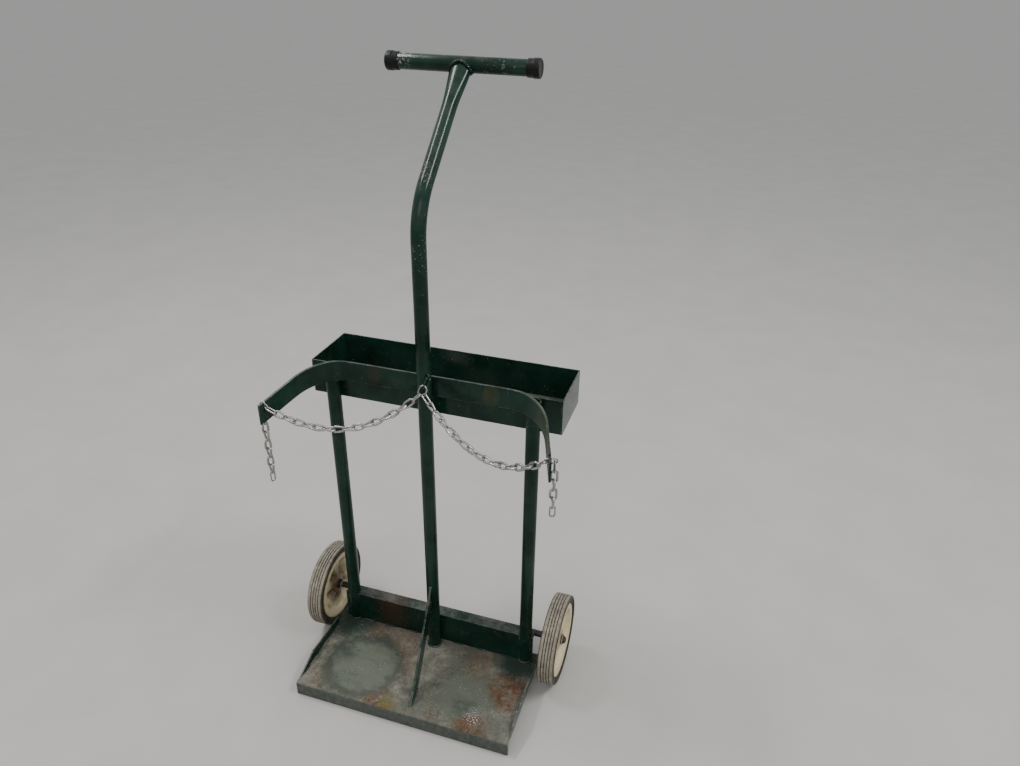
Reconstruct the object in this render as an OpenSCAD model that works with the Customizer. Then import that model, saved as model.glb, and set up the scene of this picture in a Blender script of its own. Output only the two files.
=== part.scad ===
// Two-cylinder oxy acetylene torch cart.
// Origin: on the floor, at the middle of the cart's footprint. +X is the cart's own width,
// -Y the loading side where the cylinders stand, +Y the handle side, +Z up.

/* [Base] */
// Width of the base plate
base_w = 440; // [410:1:450]
// Depth of the base plate in front of the strap's plane
base_front = 198; // [180:1:215]
// Height of the base plate's top above the floor
plate_top = 31; // [24:1:40]
// Thickness of the base plate and the side gussets
plate_t = 3.2; // [2:0.1:5]
// Height of the rear angle above the base plate
angle_h = 68.5; // [60:0.5:75]
// Depth of the rear angle's top flange
angle_d = 25.4; // [22:0.1:30]
// Height of the side gussets where they stand tallest
side_gusset_h = 20; // [12:1:40]
// Top of the centre brace above the floor
brace_top = 197; // [150:1:240]
// Width of the centre brace's flat bar
brace_w = 31.75; // [19:0.05:38]
// Turn of the centre brace's foot to the right, about the mast
brace_turn = 6; // [0:1:8]

/* [Tubes] */
// Outer radius of the mast and the uprights
tube_r = 12.7; // [11:0.1:14]
// Wall of the mast, the uprights and the handle bar
tube_wall = 2; // [1.2:0.1:3]
// Distance of each upright from the middle
upright_x = 191; // [180:1:200]
// Height of the mast's bend above the floor
bend_z = 951; // [880:1:1000]
// Radius of the mast's bend
bend_r = 120; // [80:1:150]
// Height of the handle bar
handle_z = 1140; // [1100:1:1200]
// Distance of the handle bar behind the strap's plane
handle_y = 187; // [150:1:220]
// Half length of the handle bar with its caps
handle_half = 134; // [110:1:160]
// Outer radius of the handle bar
handle_r = 13.3; // [12:0.1:15]

/* [Cylinder strap] */
// Top of the strap's straight part
strap_top = 658; // [640:1:700]
// Height of the strap's flat bar
strap_h = 38.1; // [30:0.1:45]
// Thickness of the strap's flat bar
strap_t = 4; // [3:0.1:5]
// Half length of the strap's straight part
strap_straight = 147; // [140:1:155]
// Radius of the strap's bends
strap_r = 90; // [80:1:95]
// Angle of the strap's bends
strap_bend = 70; // [60:1:80]
// Length of each straight tip
strap_tip = 76; // [60:1:90]
// How far the tips sag below the straight part
strap_sag = 40; // [0:1:50]

/* [Tray] */
// Length of the tray
tray_w = 478; // [450:1:490]
// Depth of the tray
tray_d = 123; // [100:1:140]
// Bottom of the tray above the floor
tray_bottom = 572; // [560:1:590]
// Height of the tray's walls
tray_h = 68; // [50:1:80]
// Thickness of the tray's sheet
tray_t = 2; // [1:0.1:3]

/* [Wheels] */
// Outer radius of the tyres
wheel_r = 88.9; // [86:0.1:95]
// Width of the tyre's tread
tyre_w = 34; // [30:1:36]
// Distance of each wheel's middle plane from the cart's middle
wheel_x = 250; // [250:1:260]
// Radius of the axle
axle_r = 6.35; // [5:0.05:8]

/* [Chain] */
// Diameter of the links' wire
wire_d = 2.8; // [2.4:0.1:3]
// Width of the opening inside a link
link_in = 5.6; // [5:0.1:6.5]
// Length of one link's step along the chain
link_step = 17.2; // [16.8:0.1:18]
// Links from the mast to each strap slot, an odd number
span_links = 17; // [17:2:17]
// Links in the left hanging tail
left_tail_links = 9; // [4:1:9]
// Links in the right hanging tail
right_tail_links = 6; // [4:1:9]

/* [Hidden] */
$fn = 64;
big = 2000;
front_y = -base_front;

// Round parts of the frame
upright_y = sqrt(pow(strap_r + strap_t / 2 + tube_r, 2) - pow(upright_x - strap_straight, 2)) - strap_r;
mast_y = -strap_t / 2 - tube_r;
axle_y = upright_y + tube_r + axle_r;
axle_z = wheel_r;
upright_top = tray_bottom + tray_h;

// The whole cart is shifted so that the origin is under the middle of its footprint
cap_t = 2.6;
rear_y = handle_y + handle_r + cap_t;
shift_y = -(front_y + rear_y) / 2;

// Base, gussets, brace and rear angle
bend_in = 2;
bend_out = bend_in + plate_t;
web_y = -strap_t / 2;
angle_half = upright_x + tube_r + 4.3;
notch_gap = 0.15;
brace_foot_y = front_y + 16;
side_gusset_tip_y = front_y + 11;
side_gusset_peak_y = front_y + 68;
side_gusset_back_y = web_y - 26;
side_gusset_fall = 5;
brace_t = 4;

// Mast: the upper part leans back from the bend to the handle bar
lean = atan2(handle_y - mast_y, handle_z - bend_z);
bend_run = bend_r * tan(lean / 2);
upper_len = norm([handle_y - mast_y, handle_z - bend_z]) - bend_run;
bend_draw = 0.05; // bending draws the tube in by this much
bend_lap = 0.3; // the straight lengths run on into the bend by this much
cap_len = 22;
cap_edge = 2.5;

// Strap: where the bends end, and the slot near each tip
bend_end = [strap_straight + strap_r * sin(strap_bend), -strap_r * (1 - cos(strap_bend))];
tip_dir = [cos(strap_bend), -sin(strap_bend)];
tip_out = [sin(strap_bend), cos(strap_bend)];
tip_end_y = bend_end.y + strap_tip * tip_dir.y;
sag_from_y = -strap_t;
slot_inset = 13;
slot_w = 3.6;
slot_depth = 16;
slot_xy = bend_end + (strap_tip - slot_inset) * tip_dir;
slot_top = strap_top - strap_sag * (slot_xy.y - sag_from_y) / (tip_end_y - sag_from_y);

// Wheels, measured outwards from the wheel's middle plane
running_gap = 0.05;
sleeve_r = 9.5;
sleeve_in = -18;
sleeve_out = 12;
bead_r = 60;
bead_half = 13.2;
rim_lip_r = 73;
disc_t = 1.6;
boss_r = 18;
boss_z = 9;
web_r = 28;
tread_block_r = 75;
shoulder_r = 4;
rib_count = 5;
groove_w = 1.8;
groove_d = 1.4;
washer_r = 11;
washer_gap = 0.3;
washer_t = 2;
axle_end = 18;
nut_r = 8;
nut_len = 6;
nut_wall = 1.2;

// Chain links: arcs, the gap between hooked wires, and the hooking points
wire_r = wire_d / 2;
arc_r = (link_in + wire_d) / 2;
hook_gap = 0.5;
hook_in = arc_r - (wire_d + hook_gap) / 2;
big_wire_r = 1.6;
big_arc_r = 6.6;
big_hook_in = big_arc_r - big_wire_r - hook_gap / 2;
staple_turn = 50;
anchor_arc_r = 4.7;
top_lean = 19.6;
low_lean = 37.5;
staple_out = tube_r + 3;
staple_arc = [staple_out * sin(staple_turn), mast_y - staple_out * cos(staple_turn), strap_top + 11];
ring_top = staple_arc + [-6.55, -7.2, -21.56];
ring_low = ring_top + [-3, 0, -7.5];
hook_shift = 2.1;
hook_mid_z = slot_top - slot_depth + link_in / 2 + wire_d + 0.1;
hook_half = link_step / 2 - hook_in;

green = [0.06, 0.16, 0.11];
worn_green = [0.30, 0.34, 0.28];
cream = [0.83, 0.79, 0.64];
zinc = [0.75, 0.75, 0.73];

// ---------- helpers ----------

module cart() {
    translate([0, shift_y, 0]) children();
}

// Draws its children at one side: -1 is left, +1 is right
module at_side(side) {
    if (side > 0) children();
    else mirror([1, 0, 0]) children();
}

// Extrudes an outline given in (y, z) along X, from x0 to x1
module along_x(x0, x1) {
    translate([x0, 0, 0])
        rotate([90, 0, 90])
            linear_extrude(height = x1 - x0) children();
}

module tube(r, wall, h) {
    difference() {
        cylinder(r = r, h = h);
        translate([0, 0, -1]) cylinder(r = r - wall, h = h + 2);
    }
}

module ring(r_in, r_out, z0, z1) {
    translate([0, 0, z0])
        difference() {
            cylinder(r = r_out, h = z1 - z0);
            translate([0, 0, -1]) cylinder(r = r_in, h = z1 - z0 + 2);
        }
}

// A wheel piece: its children's +Z points out along the axle
module on_axle(side) {
    cart()
        at_side(side)
            translate([wheel_x, axle_y, axle_z])
                rotate([0, 90, 0]) children();
}

// Quarter bend of a folded sheet in (y, z), opening towards +y and -z of its outer corner
module fold_corner(r_in, t) {
    intersection() {
        difference() {
            circle(r = r_in + t);
            circle(r = r_in);
        }
        translate([-r_in - t, 0]) square(r_in + t);
    }
}

// ---------- base ----------

module base_outline() {
    translate([front_y + bend_out, plate_top - plate_t])
        square([web_y + angle_d - front_y - bend_out, plate_t]);
    translate([front_y + bend_out, plate_top - bend_out])
        fold_corner(bend_in, plate_t);
    translate([front_y, 0])
        square([plate_t, plate_top - bend_out]);
}

module base_plate() {
    color(worn_green)
        cart() along_x(-base_w / 2, base_w / 2) base_outline();
}

module side_gusset(side) {
    color(green)
        cart()
            at_side(side)
                along_x(base_w / 2 - plate_t, base_w / 2)
                    polygon([
                        [side_gusset_tip_y, plate_top],
                        [side_gusset_back_y, plate_top],
                        [side_gusset_back_y, plate_top + side_gusset_h - side_gusset_fall],
                        [side_gusset_peak_y, plate_top + side_gusset_h]
                    ]);
}

// Flat bar on edge, from the front of the plate up to the mast
module centre_brace() {
    foot = brace_foot_y - mast_y;
    rise = atan2(brace_top - plate_top, -tube_r - foot);
    color(green)
        cart()
            translate([0, mast_y, 0])
                rotate([0, 0, brace_turn])
                    along_x(-brace_t / 2, brace_t / 2)
                        polygon([
                            [foot, plate_top],
                            [foot + brace_w / sin(rise), plate_top],
                            [-tube_r, brace_top - brace_w / cos(rise)],
                            [-tube_r, brace_top]
                        ]);
}

module rear_angle() {
    color(green)
        cart()
            difference() {
                along_x(-angle_half, angle_half)
                    union() {
                        translate([web_y, plate_top]) square([plate_t, angle_h]);
                        translate([web_y, plate_top + angle_h - plate_t]) square([angle_d, plate_t]);
                    }
                for (side = [-1, 1])
                    translate([side * upright_x, upright_y, 0])
                        cylinder(r = tube_r + notch_gap, h = 2 * angle_h + plate_top);
            }
}

// ---------- tubes ----------

module upright(side) {
    color(green)
        cart()
            translate([side * upright_x, upright_y, plate_top])
                tube(tube_r, tube_wall, upright_top - plate_top);
}

// The mast's solid run for one radius: straight, bend, leaning part
module mast_run(r, low, over) {
    translate([0, mast_y, low])
        cylinder(r = r, h = bend_z - bend_run + bend_lap - low);
    translate([0, mast_y + bend_r, bend_z - bend_run])
        rotate([0, -90, 0])
            rotate([0, 0, -90])
                rotate_extrude(angle = lean)
                    translate([bend_r, 0]) circle(r = r - bend_draw);
    translate([0, mast_y, bend_z])
        rotate([-lean, 0, 0])
            translate([0, 0, bend_run - bend_lap])
                cylinder(r = r, h = upper_len + bend_lap + over);
}

module mast() {
    color(green)
        cart()
            difference() {
                mast_run(tube_r, plate_top, 0);
                mast_run(tube_r - tube_wall, plate_top - 1, 5);
                translate([-handle_half, handle_y, handle_z])
                    rotate([0, 90, 0]) cylinder(r = handle_r, h = 2 * handle_half);
            }
}

module handle_bar() {
    inside = handle_half - cap_edge;
    color(green)
        cart()
            translate([-inside, handle_y, handle_z])
                rotate([0, 90, 0]) tube(handle_r, tube_wall, 2 * inside);
}

// A rubber cap: a cup with a rounded edge, pushed over the bar's end
module handle_cap(side) {
    cap_r = handle_r + cap_t;
    color([0.05, 0.05, 0.05])
        cart()
            at_side(side)
                translate([handle_half - cap_len, handle_y, handle_z])
                    rotate([0, 90, 0])
                        rotate_extrude() {
                            translate([handle_r, 0]) square([cap_t, cap_len - cap_edge]);
                            translate([0, cap_len - cap_edge]) square([cap_r - cap_edge, cap_edge]);
                            intersection() {
                                translate([cap_r - cap_edge, cap_len - cap_edge]) circle(r = cap_edge);
                                translate([cap_r - cap_edge, cap_len - cap_edge]) square(cap_edge);
                            }
                        }
}

// ---------- cylinder strap ----------

module strap_blank(h) {
    translate([-strap_straight, -strap_t / 2, 0])
        cube([2 * strap_straight, strap_t, h]);
    for (side = [-1, 1])
        at_side(side) {
            translate([strap_straight, -strap_r, 0])
                rotate([0, 0, 90 - strap_bend])
                    rotate_extrude(angle = strap_bend)
                        translate([strap_r - strap_t / 2, 0]) square([strap_t, h]);
            translate([bend_end.x, bend_end.y, 0])
                rotate([0, 0, -strap_bend])
                    translate([0, -strap_t / 2, 0]) cube([strap_tip, strap_t, h]);
        }
}

// Side outline of the strap in (y, z): level at the back, sagging towards the tips
module strap_side() {
    low = strap_top - strap_h;
    over = 10;
    slope = strap_sag / (sag_from_y - tip_end_y);
    end_y = tip_end_y - over;
    end_drop = (sag_from_y - end_y) * slope;
    polygon([
        [over, low],
        [over, strap_top],
        [sag_from_y, strap_top],
        [end_y, strap_top - end_drop],
        [end_y, low - end_drop],
        [sag_from_y, low]
    ]);
}

module strap_slot() {
    translate([slot_xy.x, slot_xy.y, slot_top - slot_depth])
        rotate([0, 0, 90 - strap_bend]) {
            translate([-strap_t, -slot_w / 2, slot_w / 2]) cube([2 * strap_t, slot_w, slot_depth + 5]);
            translate([-strap_t, 0, slot_w / 2])
                rotate([0, 90, 0]) cylinder(r = slot_w / 2, h = 2 * strap_t);
        }
}

module cylinder_strap() {
    color(green)
        cart()
            difference() {
                intersection() {
                    strap_blank(strap_top + 10);
                    along_x(-big / 2, big / 2) strap_side();
                }
                for (side = [-1, 1]) at_side(side) strap_slot();
            }
}

// ---------- tray ----------

tray_y = upright_y + tube_r;
tray_bend = 3;

module tray_outline() {
    r = tray_bend + tray_t;
    translate([tray_y, tray_bottom + r]) square([tray_t, tray_h - r]);
    translate([tray_y + tray_d - tray_t, tray_bottom + r]) square([tray_t, tray_h - r]);
    translate([tray_y + r, tray_bottom]) square([tray_d - 2 * r, tray_t]);
    translate([tray_y + r, tray_bottom + r])
        mirror([0, 1]) fold_corner(tray_bend, tray_t);
    translate([tray_y + tray_d - r, tray_bottom + r])
        mirror([1, 0]) mirror([0, 1]) fold_corner(tray_bend, tray_t);
}

module tray_pan() {
    color(green)
        cart() along_x(-tray_w / 2 + tray_t, tray_w / 2 - tray_t) tray_outline();
}

module tray_end(side) {
    r = tray_bend + tray_t;
    color(green)
        cart()
            at_side(side)
                along_x(tray_w / 2 - tray_t, tray_w / 2)
                    union() {
                        translate([tray_y, tray_bottom + r]) square([tray_d, tray_h - r]);
                        translate([tray_y + r, tray_bottom]) square([tray_d - 2 * r, r]);
                        translate([tray_y + r, tray_bottom + r]) circle(r = r);
                        translate([tray_y + tray_d - r, tray_bottom + r]) circle(r = r);
                    }
}

// ---------- wheels ----------

module axle() {
    half = wheel_x + axle_end;
    color([0.35, 0.34, 0.32])
        cart()
            translate([-half, axle_y, axle_z])
                rotate([0, 90, 0]) cylinder(r = axle_r, h = 2 * half);
}

module inner_washer(side) {
    color(zinc)
        on_axle(side)
            ring(axle_r, washer_r, sleeve_in - washer_gap - washer_t, sleeve_in - washer_gap);
}

module outer_washer(side) {
    color(zinc)
        on_axle(side)
            ring(axle_r, washer_r, sleeve_out + washer_gap, sleeve_out + washer_gap + washer_t);
}

// Domed push-on cap over the axle's end
module axle_cap(side) {
    foot = sleeve_out + washer_gap + washer_t;
    color([0.16, 0.16, 0.16])
        on_axle(side)
            difference() {
                union() {
                    translate([0, 0, foot]) cylinder(r = nut_r, h = nut_len - nut_wall);
                    translate([0, 0, foot + nut_len - nut_wall])
                        cylinder(r1 = nut_r, r2 = nut_r - nut_wall, h = nut_wall);
                }
                translate([0, 0, foot - 1]) cylinder(r = axle_r, h = axle_end - foot + 1);
            }
}

module tyre(side) {
    half = tyre_w / 2;
    rib_step = (tyre_w - 2 * shoulder_r + groove_w) / rib_count;
    color([0.30, 0.28, 0.23])
        on_axle(side)
            rotate_extrude($fn = 96)
                difference() {
                    union() {
                        translate([bead_r, -bead_half])
                            square([wheel_r - shoulder_r - bead_r, 2 * bead_half]);
                        translate([tread_block_r, -half])
                            square([wheel_r - shoulder_r - tread_block_r, tyre_w]);
                        translate([wheel_r - shoulder_r - 1, -half + shoulder_r])
                            square([shoulder_r + 1, tyre_w - 2 * shoulder_r]);
                        for (s = [-1, 1])
                            translate([wheel_r - shoulder_r, s * (half - shoulder_r)])
                                circle(r = shoulder_r);
                    }
                    for (i = [1 : rib_count - 1])
                        translate([wheel_r - groove_d, (i - rib_count / 2) * rib_step - groove_w / 2])
                            square([groove_d + 1, groove_w]);
                }
}

// Pressed disc: boss, dished web, drum under the tyre and the lip beside it
module hub_disc() {
    slant = 0.7;
    rotate_extrude($fn = 96)
        polygon([
            [sleeve_r, boss_z],
            [boss_r, boss_z],
            [web_r, 0],
            [bead_r, 0],
            [bead_r, bead_half],
            [rim_lip_r, bead_half],
            [rim_lip_r, bead_half + disc_t],
            [bead_r - disc_t, bead_half + disc_t],
            [bead_r - disc_t, disc_t],
            [web_r + slant, disc_t],
            [boss_r + slant, boss_z + disc_t],
            [sleeve_r, boss_z + disc_t]
        ]);
}

module outer_disc(side) {
    color(cream) on_axle(side) hub_disc();
}

module inner_disc(side) {
    color(cream) on_axle(side) mirror([0, 0, 1]) hub_disc();
}

module hub_sleeve(side) {
    color([0.4, 0.38, 0.33])
        on_axle(side)
            ring(axle_r + running_gap, sleeve_r, sleeve_in, sleeve_out);
}

// ---------- chain ----------

function unit(v) = v / norm(v);

// The part of v square to the unit vector u, as a unit vector
function square_to(v, u) = unit(v - (v * u) * u);

// Half a link in its own XY plane: one end arc and the two halves of its straight sides
module half_link(half, arc, wire) {
    translate([half, 0, 0])
        rotate([0, 0, -90])
            rotate_extrude(angle = 180, $fn = 24)
                translate([arc, 0]) circle(r = wire);
    for (s = [-1, 1])
        translate([0, s * arc, 0])
            rotate([0, 90, 0]) cylinder(r = wire, h = half, $fn = 24);
}

// A whole oval link between the arc centres a and b, with its width along w
module oval_link(a, b, w, arc = arc_r, wire = wire_r) {
    u = unit(b - a);
    v = square_to(w, u);
    n = cross(u, v);
    mid = (a + b) / 2;
    multmatrix([
        [u.x, v.x, n.x, mid.x],
        [u.y, v.y, n.y, mid.y],
        [u.z, v.z, n.z, mid.z],
        [0, 0, 0, 1]
    ]) {
        half_link(norm(b - a) / 2, arc, wire);
        mirror([1, 0, 0]) half_link(norm(b - a) / 2, arc, wire);
    }
}

// A link hooked between the points p and q
module hooked_link(p, q, w) {
    u = unit(q - p);
    oval_link(p + hook_in * u, q - hook_in * u, w);
}

// Hanging curve from p to q with the given sag, at t from 0 to 1
function hang(p, q, sag, t) = p + t * (q - p) - [0, 0, 4 * sag * t * (1 - t)];

steps = 48;
function hang_points(p, q, sag) = [for (i = [0 : steps]) hang(p, q, sag, i / steps)];
function lengths(pts, i = 0, sum = 0) =
    i == len(pts) - 1 ? [sum] : concat([sum], lengths(pts, i + 1, sum + norm(pts[i + 1] - pts[i])));
function hang_length(p, q, sag) = let (l = lengths(hang_points(p, q, sag))) l[steps];

// The sag at which the curve is as long as the chain
function chain_sag(p, q, wanted, low = 1, high = 150, n = 24) =
    let (mid = (low + high) / 2)
    n == 0 ? mid
    : hang_length(p, q, mid) > wanted ? chain_sag(p, q, wanted, low, mid, n - 1)
    : chain_sag(p, q, wanted, mid, high, n - 1);

// Hooking points along the hanging curve, one link's step apart
function hook_points(p, q, count) =
    let (
        sag = chain_sag(p, q, count * link_step),
        sums = lengths(hang_points(p, q, sag)),
        table = [for (i = [0 : steps]) [sums[i], i / steps]]
    )
    [for (k = [0 : count]) hang(p, q, sag, lookup(k * sums[steps] / count, table))];

// Links along hooking points, turned a quarter from one to the next
module chain(pts, across) {
    for (k = [0 : len(pts) - 2]) {
        u = unit(pts[k + 1] - pts[k]);
        s = square_to(across, u);
        hooked_link(pts[k], pts[k + 1], k % 2 == 0 ? s : cross(u, s));
    }
}

// The link held in a strap slot lies across the flat bar
hook_out = [tip_out.x, tip_out.y, 0];
hook_along = [tip_dir.x, tip_dir.y, 0];
hook_mid = [slot_xy.x, slot_xy.y, hook_mid_z] + hook_shift * hook_out;
hook_inner = hook_mid - hook_half * hook_out;
hook_outer = hook_mid + hook_half * hook_out;

// Ends of the right-hand chain, from the junction link to the strap slot
span_start = ring_low + big_hook_in * unit([1, 0, -1]);
span_end = hook_inner + hook_in * unit([-0.678, -0.635, -0.25]);
mirror_x = [-1, 1, 1];
function mirrored(v) = [for (i = [0 : 2]) v[i] * mirror_x[i]];
left_span_start = ring_low + big_hook_in * unit([-1, 0, -1]);

module chain_staple() {
    color(green)
        cart()
            translate([0, mast_y, staple_arc.z])
                rotate([0, 0, staple_turn - 90])
                    translate([tube_r - 1, 0, 0])
                        rotate([90, 0, 0])
                            difference() {
                                half_link(staple_out - tube_r + 1, arc_r, wire_r);
                                translate([1 - tube_r, 0, 0])
                                    rotate([90, 0, 0]) cylinder(r = tube_r, h = 4 * arc_r, center = true);
                            }
}

// A slightly wider link, pulled askew between the upright staple and the junction link
module anchor_link() {
    top = staple_arc + hook_in * [sin(staple_turn) * sin(top_lean), -cos(staple_turn) * sin(top_lean), -cos(top_lean)];
    low = ring_top + big_hook_in * [sin(low_lean), 0, cos(low_lean)];
    u = unit(low - top);
    reach = anchor_arc_r - (wire_d + hook_gap) / 2;
    color(green)
        cart() oval_link(top + reach * u, low - reach * u, [0.352, 0.936, -0.428], anchor_arc_r, wire_r);
}

module junction_link() {
    color(zinc)
        cart() oval_link(ring_top, ring_low, [1, 0, 0], big_arc_r, big_wire_r);
}

module hook_link(side) {
    color(zinc)
        cart() at_side(side) oval_link(hook_inner, hook_outer, [0, 0, 1]);
}

module left_chain() {
    color(zinc)
        cart()
            chain(hook_points(left_span_start, mirrored(span_end), span_links),
                  cross([0, 0, 1], unit(left_span_start - mirrored(span_end))));
}

module right_chain() {
    color(zinc)
        cart()
            chain(hook_points(span_start, span_end, span_links),
                  cross([0, 0, 1], unit(span_start - span_end)));
}

module tail(side, count) {
    top = hook_outer - [0, 0, hook_in];
    color(zinc)
        cart()
            at_side(side)
                chain([for (k = [0 : count]) top - [0, 0, k * link_step]], hook_along);
}

// ---------- nodes ----------

base_plate();
side_gusset(-1);  // left_side_gusset
side_gusset(1);  // right_side_gusset
centre_brace();
rear_angle();
upright(-1);  // left_upright
upright(1);  // right_upright
mast();
handle_bar();
handle_cap(-1);  // left_handle_cap
handle_cap(1);  // right_handle_cap
cylinder_strap();
tray_pan();
tray_end(-1);  // left_tray_end
tray_end(1);  // right_tray_end
axle();
inner_washer(-1);  // left_inner_washer
inner_washer(1);  // right_inner_washer
outer_washer(-1);  // left_outer_washer
outer_washer(1);  // right_outer_washer
axle_cap(-1);  // left_axle_cap
axle_cap(1);  // right_axle_cap
tyre(-1);  // left_tyre
tyre(1);  // right_tyre
outer_disc(-1);  // left_outer_disc
outer_disc(1);  // right_outer_disc
inner_disc(-1);  // left_inner_disc
inner_disc(1);  // right_inner_disc
hub_sleeve(-1);  // left_hub_sleeve
hub_sleeve(1);  // right_hub_sleeve
chain_staple();
anchor_link();
junction_link();
hook_link(-1);  // left_hook_link
hook_link(1);  // right_hook_link
left_chain();
right_chain();
tail(-1, left_tail_links);  // left_tail
tail(1, right_tail_links);  // right_tail
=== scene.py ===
import math
import random

import bmesh
import bpy
import numpy as np
from bpy.props import FloatProperty, FloatVectorProperty, IntProperty, PointerProperty
from mathutils import Matrix, Vector


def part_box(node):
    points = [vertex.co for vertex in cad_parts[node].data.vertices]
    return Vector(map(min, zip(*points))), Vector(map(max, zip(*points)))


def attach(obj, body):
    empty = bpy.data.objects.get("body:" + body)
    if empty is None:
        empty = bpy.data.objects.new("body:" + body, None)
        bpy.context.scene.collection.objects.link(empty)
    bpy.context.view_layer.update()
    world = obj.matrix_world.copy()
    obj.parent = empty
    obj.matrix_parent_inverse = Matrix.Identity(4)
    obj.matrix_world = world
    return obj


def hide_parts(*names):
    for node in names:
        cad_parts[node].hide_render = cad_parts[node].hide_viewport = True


bl_info = {
    "name": "Cylinder Cart",
    "version": (1, 0, 0),
    "blender": (4, 5, 0),
    "location": "3D View > Sidebar > Cart",
    "description": "Builds the looks of a two-cylinder welding cart around its frame",
    "category": "Object",
}

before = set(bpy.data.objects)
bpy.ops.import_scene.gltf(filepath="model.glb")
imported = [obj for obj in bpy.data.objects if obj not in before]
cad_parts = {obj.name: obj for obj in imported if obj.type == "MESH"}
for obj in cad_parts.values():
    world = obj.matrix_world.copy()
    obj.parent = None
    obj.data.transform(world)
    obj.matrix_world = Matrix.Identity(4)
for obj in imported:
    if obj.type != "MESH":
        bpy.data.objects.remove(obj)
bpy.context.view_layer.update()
MM = 0.001
SIDES = (("left", -1), ("right", 1))


# ---------- places taken from the frame ----------

def middle(node):
    low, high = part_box(node)
    return (low + high) / 2


def extent(node):
    low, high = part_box(node)
    return high - low


TUBE_R = extent("left_upright").x / 2
PLATE_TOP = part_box("base_plate")[1].z
MAST_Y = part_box("mast")[0].y + TUBE_R
BAR = middle("handle_bar")
BAR_R = extent("handle_bar").z / 2
WHEEL_R = extent("left_tyre").z / 2
STRAP_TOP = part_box("cylinder_strap")[1].z
ANGLE_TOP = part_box("rear_angle")[1].z
STRAP_FACE_Y = MAST_Y + TUBE_R
CAP_LENGTH = extent("left_handle_cap").x
CAP_R = extent("left_handle_cap").z / 2

# ---------- sizes of the bent pieces, which their boxes don't give ----------

TUBE_WALL = 2.0 * MM
TRAY_ROUNDING = 0.35 * MM
MAST_KNEE_Z = 0.951
MAST_BEND_R = 0.120
MAST_FLARE = 1.46
MAST_FLARE_RUN = 0.082
STRAP_BEND_X = 0.147
STRAP_BEND_R = 0.090
BRACE_TURN = math.radians(6.0)
SPOKE_START_R = 0.020
SPOKE_RUN = 0.037

CAMERA_PLACE = (0.48875, -1.09216, 1.28864)
CAMERA_YAW_PITCH_ROLL = (17.282, -28.483, 1.057)
CAMERA_LENS = 27.402

# ---------- tints that only one finish uses ----------

WET_GREEN = (0.022, 0.040, 0.028)
ALGAE = (0.040, 0.058, 0.026)
MOSS = (0.12, 0.13, 0.03)
WHITE_CRUMBS = (0.62, 0.62, 0.58)
PALE_SPECKS = (0.5, 0.5, 0.46)
SCUFFED_RUBBER = (0.030, 0.030, 0.029)
OLIVE_SPOT = (0.060, 0.064, 0.018)
OLIVE_HAZE = (0.03, 0.042, 0.02)


# ---------- sizes and colours that a user would change ----------

def length(name, text, millimetres):
    return FloatProperty(name=name, description=text, default=millimetres * MM, min=0.0,
                         unit="LENGTH", precision=4)


def paint(name, text, red, green, blue):
    return FloatVectorProperty(name=name, description=text, default=(red, green, blue), size=3,
                               min=0.0, max=1.0, subtype="COLOR")


class CartSizes(bpy.types.PropertyGroup):
    edge_round: length("Edge Rounding", "Radius of the worn edges of sheet and flat bar", 0.5)
    bead: length("Weld Bead", "Radius of the weld beads", 2.1)
    groove: length("Tread Groove", "Depth of the grooves between the tyre's ribs", 2.0)
    disc: length("Disc Thickness", "Thickness of the wheels' pressed discs", 1.5)
    emboss: length("Disc Pressing", "Height of the pressed spokes in the inner discs", 6.0)
    spokes: IntProperty(name="Disc Spokes", description="Pressed spokes in each inner disc",
                        default=6, min=3, max=16)
    twist: FloatProperty(name="Link Twist", description="Twist from one end of a chain link to the other",
                         default=math.radians(46), subtype="ANGLE")
    wire: length("Link Wire", "Added to the radius of the wire of the links between the end ones", 0.28)
    bulge: FloatProperty(name="Link Bulge", description="How far a chain link's sides bow out",
                         default=0.26, min=0.0, max=0.6)
    sides: IntProperty(name="Round Steps", description="Steps round a tube", default=64, min=24, max=128)


class CartColours(bpy.types.PropertyGroup):
    enamel: paint("Enamel", "Dark green enamel", 0.0030, 0.0200, 0.0125)
    primer: paint("Chip", "Bare metal and primer in the chips", 0.42, 0.43, 0.38)
    faded: paint("Faded Green", "Green enamel rubbed thin by the cylinders", 0.092, 0.104, 0.078)
    grit: paint("Grit", "Dried dust and grit on the base plate", 0.200, 0.188, 0.152)
    rust: paint("Rust", "Orange-brown rust", 0.112, 0.047, 0.015)
    old_rust: paint("Old Rust", "Dark brown rust", 0.060, 0.026, 0.013)
    dust: paint("Dust", "Grey shop dust", 0.20, 0.19, 0.165)
    cream: paint("Cream", "Cream enamel of the discs", 0.70, 0.60, 0.37)
    stain_and_shade: paint("Stain", "Olive-brown stain on the discs", 0.150, 0.105, 0.045)
    # Also the colour of the painted shade in the upper dish and round the axle cap.
    tread: paint("Tread", "Dusty rubber of the ribs", 0.320, 0.285, 0.225)
    tyre: paint("Sidewall", "Dark olive-brown rubber", 0.028, 0.023, 0.013)
    zinc: paint("Zinc", "Bright zinc plate", 0.45, 0.44, 0.42)
    steel: paint("Steel", "Dull bare steel", 0.085, 0.082, 0.075)
    rubber: paint("Rubber", "Black rubber of the handle caps", 0.0045, 0.0045, 0.004)
    floor: paint("Floor", "Pale studio floor", 0.47, 0.455, 0.43)


def toned(colour, share):
    return [c * share for c in colour]


# ---------- mesh helpers ----------

def weighed_normals(bm):
    """One normal per vertex, led by the widest faces round it, so that flat sheet looks flat."""
    bm.normal_update()
    normals = []
    for vert in bm.verts:
        total = sum((face.normal * face.calc_area() for face in vert.link_faces), Vector())
        normals.append(total.normalized())
    return normals


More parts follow.
